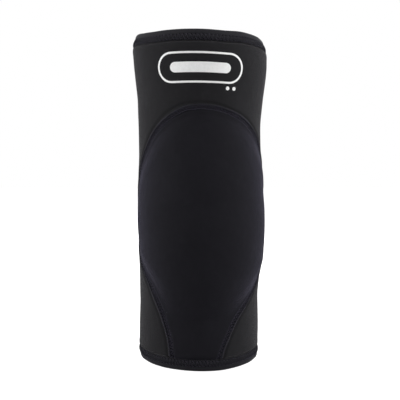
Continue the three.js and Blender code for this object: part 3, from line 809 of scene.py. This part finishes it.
def panel_mesh(offsets, seam_spacing, low, fill_spacing):
    """Flat mesh of the pad panel down to z = low, in its own coordinates, following lines at
    offsets from the seam. The first offset is its edge."""
    lines = [(offset_seam(offset, seam_spacing), False) for offset in offsets]
    lines.append((np.stack([np.linspace(-40, 40, 54), np.full(54, low)], 1), False))
    fill = grid_points((-78, low + fill_spacing * 0.7), (78, 66), fill_spacing)
    fill = fill[seam_distance(fill[:, 0], fill[:, 1]) < min(offsets) - fill_spacing * 0.6]

    def keep(p):
        return (seam_distance(p[:, 0], p[:, 1]) < offsets[0] + 1e-3) & (p[:, 1] > low)
    return triangulate(lines, fill, keep, fill_spacing * 0.55)


def inflate():
    """The cover swells over the foam: a pinned sheet under pressure. Returns the sheet's flat
    points and their heights."""
    sim_scale = 10  # the sheet is simulated this many times life size
    last_frame = 20
    flat, faces = panel_mesh([-2.2, -4.2], 3.4, -100.0, 3.6)
    arc, z = drifted(flat).T
    start = plain_rise(flat[:, 0], z) * 0.84
    rest = place(arc, z, start) * sim_scale
    mesh = bpy.data.meshes.new("sim_cover")
    mesh.from_pydata([tuple(p) for p in rest], [], [tuple(int(i) for i in t) for t in faces])
    sheet = bpy.data.objects.new("sim_cover", mesh)
    scene = bpy.context.scene
    scene.collection.objects.link(sheet)
    inside = -seam_distance(flat[:, 0], z)
    pins = sheet.vertex_groups.new(name="pin")
    for i in np.nonzero((inside < 3.8) | (z < -77))[0]:
        pins.add([int(i)], 1.0, "REPLACE")
    cloth = sheet.modifiers.new("cloth", "CLOTH")
    settings = cloth.settings
    settings.vertex_group_mass = "pin"
    settings.quality = 6
    settings.mass = 0.3
    settings.tension_stiffness = 3
    settings.compression_stiffness = 3
    settings.shear_stiffness = 1.5
    settings.bending_stiffness = 0.5
    settings.air_damping = 2.0
    settings.use_pressure = True
    settings.uniform_pressure_force = 4.0
    settings.effector_weights.gravity = 0
    cloth.collision_settings.use_collision = False
    cloth.point_cache.frame_start = 1
    cloth.point_cache.frame_end = last_frame
    for i in range(1, last_frame + 1):
        scene.frame_set(i)
    swollen = sheet.evaluated_get(bpy.context.evaluated_depsgraph_get())
    reached = np.array([p.co for p in swollen.data.vertices], float)
    scene.frame_set(1)
    move = (reached - rest) * (1000 / sim_scale)  # mm
    out = (move * outward(arc, z)).sum(1)
    bpy.data.objects.remove(sheet)
    bpy.data.meshes.remove(mesh)
    return flat, start + out


def make_rise():
    """Height of the pad, in the panel's own coordinates: the plain crown corrected by the
    simulated swelling."""
    flat, risen = inflate()
    plain = plain_rise(flat[:, 0], flat[:, 1])
    extra = np.clip(risen, plain - 3.0, plain + 1.6) - plain
    tree = point_tree(flat)

    def rise(arc, z):
        swell = np.zeros(len(arc))
        for k, (x, y) in enumerate(zip(arc, z)):
            near = tree.find_n((x, y, 0), 10)
            weight = np.exp(-(np.array([q[2] for q in near]) / 3.4) ** 2) + 1e-9
            swell[k] = (weight * extra[[q[1] for q in near]]).sum() / weight.sum()
        inside = -seam_distance(arc, z)
        gate = step(PAD_EDGE, 9.0, inside) * step(-100, -78, z)
        # The +x flank is flatter.
        flatter = ((1.0 + 0.6 * bump(z, -14, 16)) * step(40, 60, arc) * step(-52, -36, z)
                   * (1 - step(4, 22, z)) * step(PAD_EDGE, 6.0, inside))
        return plain_rise(arc, z) + swell * gate - flatter
    return rise


rise = make_rise()


# ---------------------------------------------------------------- cloth pieces and foam
def flexing(piece, slot, *nodes):
    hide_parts(*nodes)
    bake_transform(piece)


def rigid(piece, body, node):
    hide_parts(node)
    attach(piece, body)


def tube_mesh(seam_steps, back_steps, hem_steps, spacing, back_gap):
    """Flat mesh of the sleeve all round but for the pad panel, following lines at set distances
    from the pad seam and the back seam, and at set heights. back_gap is left at the back."""
    side = BACK - back_gap
    lines = [(drifted(offset_seam(offset, 1.5)), False) for offset in seam_steps]
    box = np.array([[-side, -EDGE], [side, -EDGE], [side, EDGE], [-side, EDGE]], float)
    outline = []
    for i in range(4):
        start, end = box[i], box[(i + 1) % 4]
        count = int(np.hypot(*(end - start)) / 1.8)
        outline.append(start + (end - start) * np.linspace(0, 1, count, endpoint=False)[:, None])
    lines.append((np.vstack(outline), True))
    for offset in back_steps:
        for sign in (-1, 1):
            z = np.arange(-EDGE, EDGE + 0.01, 2.0)
            z[-1] = EDGE
            lines.append((np.stack([np.full(len(z), sign * (BACK - offset)), z], 1), False))
    for level in hem_steps:
        for sign in (-1, 1):
            x = np.arange(-side, side + 0.01, 1.8)
            x[-1] = side
            lines.append((np.stack([x, np.full(len(x), sign * level)], 1), False))
    fill = grid_points((-side, -EDGE), (side, EDGE), spacing)
    fill = fill[(off_seam(fill[:, 0], fill[:, 1]) > max(seam_steps) + spacing * 0.4)
                & (np.abs(fill[:, 0]) < BACK - max(back_steps) - spacing * 0.3)
                & (np.abs(fill[:, 1]) < min(hem_steps) - spacing * 0.3)]

    def keep(p):
        return ((off_seam(p[:, 0], p[:, 1]) > min(seam_steps) - 1e-3)
                & (np.abs(p[:, 0]) < side) & (np.abs(p[:, 1]) < EDGE))
    return triangulate(lines, fill, keep, spacing * 0.5)


def body_panel():
    back_steps = [0.5, 0.9, 1.3, 1.8, 2.2, 2.55, 3.0, 3.5, 4.2, 5.2, 6.4]
    seam_steps = [0.12, 0.5, 0.9, 1.3, 1.8, 2.2, 2.55, 3.0, 3.5, 4.2, 5.2, 6.6, 8.4]
    hem_steps = [HEM_Z + z for z in (-5.0, -3.4, -2.2, -1.5, -1.1, -0.7, -0.3, 0.15, 1.5)]
    flat, faces = tube_mesh(seam_steps, back_steps, hem_steps, spacing=2.3, back_gap=0.12)
    outer = body_height(flat[:, 0], flat[:, 1])
    return shell("sleeve_body_panel", flat, faces, outer, outer * 0.25 - NEOPRENE, BODY,
                 paint_thread_shade=True)


def lining():
    flat, faces = tube_mesh([0.3, 1.6, 3.0, 5.0], (1.6, 3.0, 5.0), [HEM_Z - 1.0],
                            spacing=3.4, back_gap=0.3)
    arc, z = flat.T
    lift = (0.35 * bump(off_seam(arc, z), 0, 2.6) + 0.35 * bump(BACK - np.abs(arc), 0, 2.6)
            - creases(arc, z) * 0.6)
    return shell("sleeve_lining", flat, faces, LINING_OUT, LINING_IN + lift, JERSEY)


def pad_cover():
    offsets = [-0.12, -0.5, -1.0, -1.5, -1.75, -2.25, -2.7, -3.4, -4.0, -5.0, -6.4, -8.4, -10.8]
    flat, faces = panel_mesh(offsets, 1.5, -EDGE, 2.3)
    flat = drifted(flat)
    arc, z = flat.T
    seam = off_seam(arc, z)
    pad = rise(arc - drift(z), z)
    outer = seam_section(seam) + hem_pinch(z) + shared_relief(arc, z, seam) + pad
    inner = np.maximum(pad - COVER, outer * 0.25 - COVER - 0.4)
    return shell("pad_cover", flat, faces, outer, inner, PANEL, paint_thread_shade=True)


def pad_backing():
    """Lining cloth behind the pad."""
    flat, faces = panel_mesh([-0.3, -1.6, -3.0, -5.0], 2.2, -EDGE, 3.6)
    flat = drifted(flat)
    seam = off_seam(flat[:, 0], flat[:, 1])
    inner = LINING_IN + 0.35 * bump(seam, 0, 2.6) - 0.5 * step(6, 22, -seam)
    return shell("pad_backing", flat, faces, inner + LINING, inner, JERSEY, uv_shift=(3.0, 0.0))


def foam_outline():
    """The seam line moved in, cut off low down and closed by a round end."""
    line = offset_seam(-9.5, 1.6)
    line = line[line[:, 1] > -58]
    x, z = line[-1]
    t = np.linspace(0, math.pi, 60)[1:-1]
    return np.vstack([line, np.stack([x * np.cos(t), z - 17.5 * np.sin(t) ** 0.9], 1)])


def foam_pad():
    outline = foam_outline()

    def inside(p):
        """Even-odd test against the outline."""
        x, y = outline.T
        next_x, next_y = np.roll(x, -1), np.roll(y, -1)
        fall = np.where(next_y == y, 1e-9, next_y - y)
        crossing = ((y[None] > p[:, 1:2]) != (next_y[None] > p[:, 1:2])) & (
            p[:, 0:1] < (next_x - x)[None] * (p[:, 1:2] - y[None]) / fall[None] + x[None])
        return crossing.sum(1) % 2 == 1

    fill = grid_points((-66, -80), (66, 56), 3.4)
    flat, faces = triangulate([(outline, True)], fill[inside(fill)], inside, 2.0)
    depth = np.array([np.hypot(*(outline - p).T).min() for p in flat])
    top = np.maximum(rise(flat[:, 0], flat[:, 1]) - COVER - 0.9, -1.9)
    top = np.maximum(top - 0.9 * (1 - step(0, 4, depth)), -2.15)
    return shell("foam_pad", drifted(flat), faces, top, -2.55, FOAM)


flexing(body_panel(), "neoprene_body",
        "upper_body_panel", "lower_body_panel_left", "lower_body_panel_right",
        "crook_body_panel_left", "crook_body_panel_right")
flexing(lining(), "jersey_lining",
        "upper_body_lining", "lower_body_lining_left", "lower_body_lining_right",
        "crook_lining_left", "crook_lining_right")
flexing(pad_cover(), "pad_cover", "upper_pad_cover", "lower_pad_cover")
flexing(pad_backing(), "jersey_lining", "upper_pad_backing", "lower_pad_backing")
flexing(foam_pad(), "foam", "upper_foam_pad", "lower_foam_pad")


# ---------------------------------------------------------------- seams
def pad_seam_base(arc, z):
    seam = off_seam(arc, z)
    return seam_section(seam) + hem_pinch(z) * 0.9 + shared_relief(arc, z, seam)


def back_seam_base(arc, z):
    return back_section(arc) + hem_pinch(z) * 0.9 + shared_relief(arc, z, off_seam(arc, z))


def inner_seam_base(arc, z):
    return LINING_IN - 0.1 - creases(arc, z) * 0.6


def seam_threads(name, line, base):
    """Thread packed over the ridge and stitches on the lining, then two needle rows with a
    looper running between them."""
    parts = [zigzag(line, 0.6, 1.2, base, lift=0.08, radius=0.27, per=4, bulge=0.6,
                    centre=RIDGE_AT, phase=0.3),
             zigzag(line, 2.3, 1.9, inner_seam_base, lift=-0.12, radius=0.22, per=4, bulge=-0.3,
                    phase=0.25)]
    for across in (-2.5, 2.5):
        parts.append(stitch_row(line, across, 1.9, 1.6, inner_seam_base, lift=-0.35, radius=0.17,
                                start=0.3, sides=5))
    ridge = merge(parts)
    parts = [zigzag(line, 1.1, STITCH, base, lift=0.06, radius=0.15, per=6, bulge=0.4,
                    centre=-0.9)]
    for across, lift, radius, start in ((NEEDLE_ROWS[0], 0.12, 0.27, 0.2),
                                        (NEEDLE_ROWS[1], 0.08, 0.23, 0.9)):
        parts.append(stitch_row(line, across, STITCH, STITCH * 0.56, base, lift, radius, start))
    verts, faces, uv = merge([ridge, merge(parts)])
    piece = make_object(name, verts, faces, uv, THREAD, None)
    second_material(piece, ROW_THREAD, slice(len(ridge[1]), None))
    return piece


pad_line = offset_seam(0.0, 0.5)
pad_line = drifted(pad_line[pad_line[:, 1] > SEAM_END])
back_z = np.linspace(SEAM_END, -SEAM_END, 430)
back_line = np.stack([BACK + 0.35 * np.sin(back_z * 0.05), back_z], 1)

flexing(seam_threads("pad_seam_stitching", pad_line, pad_seam_base), "thread",
        "pad_seam_stitching_arch", "pad_seam_stitching_left", "pad_seam_stitching_right")
flexing(seam_threads("back_seam_stitching", back_line, back_seam_base), "thread",
        "back_seam_stitching_upper", "back_seam_stitching_crook", "back_seam_stitching_lower")


# ---------------------------------------------------------------- hems
def tape_face(arc, z):
    """Height of the outer face of the binding."""
    side = np.abs(z)
    height = (-0.58 + 0.44 * step(HEM_Z + 0.1, HEM_Z + 2.0, side)
              - 0.25 * step(HEM_Z + 3.4, HEM_Z + 5.6, side))
    # Grooves under the stitch rows, rippled by the stitches.
    height = height - 0.18 * bump(side, HEM_ROWS[0], 0.45) - 0.36 * bump(side, HEM_ROWS[1], 0.5)
    ripple = np.cos(TAU * arc / HEM_PITCH)
    height = height + ripple * (0.14 * bump(side, HEM_Z + 0.4, 0.8)
                                + 0.08 * bump(side, HEM_ROWS[1], 0.8))
    return height + 0.07 * np.sin(arc * 0.19 + 1.0) + 0.05 * np.sin(arc * 0.43)


def inner_wave(arc):
    return 0.10 * np.sin(arc * 0.23)


def hem(name, sign):
    """Binding folded over the rim: a closed profile swept round. sign is 1 for the top."""
    around = 520
    fold = 1.95
    fold_z = RIM - fold
    arc = np.linspace(-BACK, BACK, around, endpoint=False)
    # Up the outer face: (z above the hem line, inset of the tucked edge).
    outer = [(0.02, 0.35), (0.16, 0.1), (0.45, 0.02)] + [(z, 0) for z in (
        0.75, 1.05, 1.5, 2.1, 2.8, 3.4, 3.85, 4.15, 4.45, 4.9, 5.6)]
    rows = [(HEM_Z + z, tape_face(arc, HEM_Z + z) - inset) for z, inset in outer]
    top_face = tape_face(arc, fold_z)
    rows.append((fold_z, top_face))
    # Over the fold.
    middle = (top_face + TAPE_IN) / 2
    half = (top_face - TAPE_IN) / 2
    for angle in np.linspace(0, math.pi, 19)[1:-1]:
        c = math.cos(angle)
        rows.append((fold_z + fold * abs(math.sin(angle)) ** 0.72,
                     middle + half * np.sign(c) * abs(c) ** 0.66))
    # Down the inner face.
    for z in [fold_z] + [HEM_Z + up for up in (5.0, 4.15, 3.2, 1.6, 0.9, 0.3, 0.05)]:
        rows.append((z, TAPE_IN + inner_wave(arc) + 0.2 * bump(z, HEM_ROWS[0], 0.5)))
    # Back up between the tape and the cloth, over its edge and down again.
    level = np.full(around, TAPE_IN)
    rows += [(HEM_Z + 0.05, level + 0.75),
             (fold_z, level + 0.75),
             (RIM - 1.0, level + 1.4),
             (RIM - 1.0, top_face - 1.4),
             (fold_z, top_face - 0.8),
             (HEM_Z + 0.02, tape_face(arc, HEM_Z + 0.02) - 0.8)]
    count = len(rows)
    z = np.stack([np.full(around, row[0]) for row in rows]) * sign
    height = np.stack([row[1] for row in rows])
    arc = np.broadcast_to(arc, z.shape)
    # Distance along the profile, for the grain of the tape.
    span = np.r_[0, np.cumsum(np.hypot(np.diff(z[:, 0]), np.diff(height[:, 0])))]
    uv = np.stack([arc, np.broadcast_to(span[:, None], arc.shape)], -1).reshape(-1, 2) * 0.01
    i = np.arange(count)[:, None]
    j = np.arange(around)[None, :]
    i_next, j_next = (i + 1) % count, (j + 1) % around
    corners = (i * around + j, i * around + j_next, i_next * around + j_next, i_next * around + j)
    quads = np.stack(np.broadcast_arrays(*corners), -1).reshape(-1, 4)
    if sign < 0:
        quads = quads[:, ::-1]
    piece = make_object(name, place(arc, z, height).reshape(-1, 3), list(quads), uv, TAPE, 60)
    # Binding faces under the two outer stitch rows get the near-black cloth: painted shade under
    # the threads.
    stitched_rows = (2, 3, 9, 10)
    second_material(piece, THREAD_SHADE, np.isin(np.arange(len(quads)) // around, stitched_rows))
    return piece


def hem_thread(name, sign):
    """Two rows with a looper between them outside, and two rows inside."""
    middle = sign * (HEM_ROWS[0] + HEM_ROWS[1]) / 2
    line = np.stack([np.linspace(-BACK, BACK, 600), np.full(600, middle)], 1)
    half = (HEM_ROWS[1] - HEM_ROWS[0]) / 2

    def outside(arc, z):
        return np.maximum(tape_face(arc, z), -0.62)

    def inside(arc, z):
        return TAPE_IN - 0.06 + inner_wave(arc)

    parts = [zigzag(line, half, HEM_PITCH, outside, lift=0.10, radius=0.19, per=7, bulge=0.4,
                    sides=6)]
    for side in (-1, 1):
        parts.append(stitch_row(line, side * half, HEM_PITCH, HEM_PITCH * 0.58, outside,
                                lift=0.14, radius=0.3, start=0.1))
    for side in (-1, 1):
        parts.append(stitch_row(line, side * half, HEM_PITCH, HEM_PITCH * 0.8, inside,
                                lift=-0.1, radius=0.19, start=0.1, sides=5))
    return make_object(name, *merge(parts), THREAD, None)


HEMS = [("top", 1, UPPER), ("bottom", -1, LOWER)]
for end, sign, body in HEMS:
    rigid(hem(end + "_binding", sign), body, end + "_hem_binding")
for end, sign, body in HEMS:
    rigid(hem_thread(end + "_coverstitch", sign), body, end + "_hem_stitching")


# ---------------------------------------------------------------- print
# Stadiums: (middle arc, middle z, length, height). Each print: (name, node, outline, hole).
PRINTS = [
    ("print_ring", "print_outline", (0, 91.2, 58.3, 20.3), (0, 91.2, 55.7, 17.7)),
    ("print_centre_bar", "print_bar", (0, 91.2, 40, 6.8), None),
    ("size_mark_inner", "size_dot_inner", (18.6, 78.0, 2.6, 2.6), None),
    ("size_mark_outer", "size_dot_outer", (23.4, 78.0, 2.6, 2.6), None)]


def stadium(centre_arc, centre_z, length, height):
    radius = height / 2
    straight = length / 2 - radius
    angle = np.linspace(-math.pi / 2, math.pi / 2, 26)
    right = np.stack([centre_arc + straight + radius * np.cos(angle),
                      centre_z + radius * np.sin(angle)], 1)
    left = np.stack([centre_arc - straight - radius * np.cos(angle),
                     centre_z - radius * np.sin(angle)], 1)
    loop = np.vstack([right, left, right[:1]])
    loop = loop[np.r_[True, segment_lengths(loop) > 1e-6]]
    return resample(loop, 0.55)[:-1]


def inside_stadium(p, centre_arc, centre_z, length, height):
    radius = height / 2
    x = np.maximum(np.abs(p[:, 0] - centre_arc) - (length / 2 - radius), 0)
    return np.hypot(x, p[:, 1] - centre_z) < radius


def printed(name, outline, hole):
    lines = [(stadium(*shape), True) for shape in (outline, hole) if shape]
    x, z, length, height = outline
    fill = grid_points((x - length / 2, z - height / 2), (x + length / 2, z + height / 2), 1.1)

    def keep(p):
        inside = inside_stadium(p, *outline)
        if hole:
            inside &= ~inside_stadium(p, *hole)
        return inside
    flat, faces = triangulate(lines, fill[keep(fill)], keep, 0.5)
    base = body_height(flat[:, 0], flat[:, 1])
    return shell(name, flat, faces, base + 0.12, base + 0.01, PRINT)


for name, node, outline, hole in PRINTS:
    flexing(printed(name, outline, hole), "white_print", node)


# ---------------------------------------------------------------- care label
def care_label():
    """Blank label inside the back, hanging further off the lining towards its lower end."""
    width, low, high = 21.0, 76.0, 106.0
    columns, rows = 22, 30
    across, up = np.meshgrid(np.linspace(-0.5, 0.5, columns), np.linspace(0, 1, rows))
    arc = BACK + across * width + 0.4 * np.sin(up * 3)
    z = low + (high - low) * up
    hang = -0.5 - 1.5 * (1 - up) ** 2 * (0.6 + 0.8 * (across + 0.5)) + 0.15 * np.cos(across * 9)
    base = LINING_IN - 0.85 + hang
    half_thick = 0.16
    verts = [place(arc, z, base + side).reshape(-1, 3) for side in (half_thick, -half_thick)]
    count = columns * rows
    faces = []
    for j in range(rows - 1):
        for i in range(columns - 1):
            a = j * columns + i
            b = count + a
            faces.append((a, a + 1, a + columns + 1, a + columns))
            faces.append((b, b + columns, b + columns + 1, b + 1))
    rim = (list(range(columns)) + [j * columns + columns - 1 for j in range(1, rows)]
           + [(rows - 1) * columns + i for i in range(columns - 2, -1, -1)]
           + [j * columns for j in range(rows - 2, 0, -1)])
    for a, b in zip(rim, rim[1:] + rim[:1]):
        faces.append((b, a, a + count, b + count))
    uv = np.stack([across * width, z], -1).reshape(-1, 2) * 0.01
    return make_object("blank_care_label", np.vstack(verts), faces, np.vstack([uv, uv + 2]),
                       LABEL, 50)


flexing(care_label(), "label", "care_label")

# ---------------------------------------------------------------- lights, world, floor, camera
scene = bpy.context.scene
# Softboxes aimed at the origin: (name, place in metres, width and height, watts).
SOFTBOXES = [
    ("softbox_left", (-1.15, -0.30, 0.15), (0.8, 1.3), 14.6),
    ("softbox_right", (1.15, -0.28, 0.33), (0.8, 1.3), 14.6),
    ("softbox_back", (0.1, 1.3, 0.7), (1.4, 1.0), 11.5),
    ("softbox_top", (0.0, -0.2, 1.4), (1.2, 1.0), 5.8)]
ROOM_LIGHT = 0.275  # strength of the world, except as the camera sees it
FLOOR_Z = -0.1186
FLOOR_HALF = 4
FLOOR_GREY = 0.55
LENS = 53.56
CAMERA_AT = (0.0, -0.4471, 0.0229)
CAMERA_DIP = 2.93  # degrees below level
WHITE = (1, 1, 1, 1)


def softbox(name, where, size, power):
    light = bpy.data.lights.new(name, "AREA")
    light.shape = "RECTANGLE"
    light.size, light.size_y = size
    light.energy = power
    lamp = bpy.data.objects.new(name, light)
    scene.collection.objects.link(lamp)
    lamp.location = where
    lamp.rotation_mode = "QUATERNION"
    aim = Vector((0, 0, 0)) - Vector(where)
    lamp.rotation_quaternion = aim.to_track_quat("-Z", "Y")
    lamp.visible_camera = False


def new_nodes(owner, *kinds):
    """Clears the owner's node tree and adds nodes. Returns its links and the nodes."""
    owner.use_nodes = True
    nodes = owner.node_tree.nodes
    nodes.clear()
    return owner.node_tree.links, *[nodes.new("ShaderNode" + kind) for kind in kinds]


def make_world():
    """Soft white light, seen by the camera as plain white."""
    world = bpy.data.worlds.new("studio")
    scene.world = world
    links, output, mix, path, room, seen = new_nodes(
        world, "OutputWorld", "MixShader", "LightPath", "Background", "Background")
    for background, strength in ((room, ROOM_LIGHT), (seen, 1.0)):
        background.inputs["Color"].default_value = WHITE
        background.inputs["Strength"].default_value = strength
    links.new(path.outputs["Is Camera Ray"], mix.inputs[0])
    links.new(room.outputs[0], mix.inputs[1])
    links.new(seen.outputs[0], mix.inputs[2])
    links.new(mix.outputs[0], output.inputs[0])


def floor_material():
    """Grey to other rays; the camera sees it with white added."""
    material = bpy.data.materials.new("pale_floor")
    links, output, mix, path, diffuse, add, emission = new_nodes(
        material, "OutputMaterial", "MixShader", "LightPath", "BsdfDiffuse", "AddShader",
        "Emission")
    diffuse.inputs["Color"].default_value = (FLOOR_GREY, FLOOR_GREY, FLOOR_GREY, 1)
    emission.inputs["Color"].default_value = WHITE
    emission.inputs["Strength"].default_value = 1.0
    links.new(path.outputs["Is Camera Ray"], mix.inputs[0])
    links.new(diffuse.outputs[0], mix.inputs[1])
    links.new(diffuse.outputs[0], add.inputs[0])
    links.new(emission.outputs[0], add.inputs[1])
    links.new(add.outputs[0], mix.inputs[2])
    links.new(mix.outputs[0], output.inputs["Surface"])
    return material


def make_floor():
    mesh = bpy.data.meshes.new("floor")
    corners = [(x * FLOOR_HALF, y * FLOOR_HALF, FLOOR_Z)
               for x, y in ((-1, -1), (1, -1), (1, 1), (-1, 1))]
    mesh.from_pydata(corners, [], [(0, 1, 2, 3)])
    floor = bpy.data.objects.new("floor", mesh)
    scene.collection.objects.link(floor)
    mesh.materials.append(floor_material())


def make_camera():
    lens = bpy.data.cameras.new("camera")
    lens.sensor_width = 36
    lens.lens = LENS
    camera = bpy.data.objects.new("camera", lens)
    scene.collection.objects.link(camera)
    camera.location = CAMERA_AT
    camera.rotation_euler = (math.radians(90 - CAMERA_DIP), 0, 0)
    scene.camera = camera


for box in SOFTBOXES:
    softbox(*box)
make_world()
make_floor()
make_camera()
scene.view_settings.view_transform = "Standard"
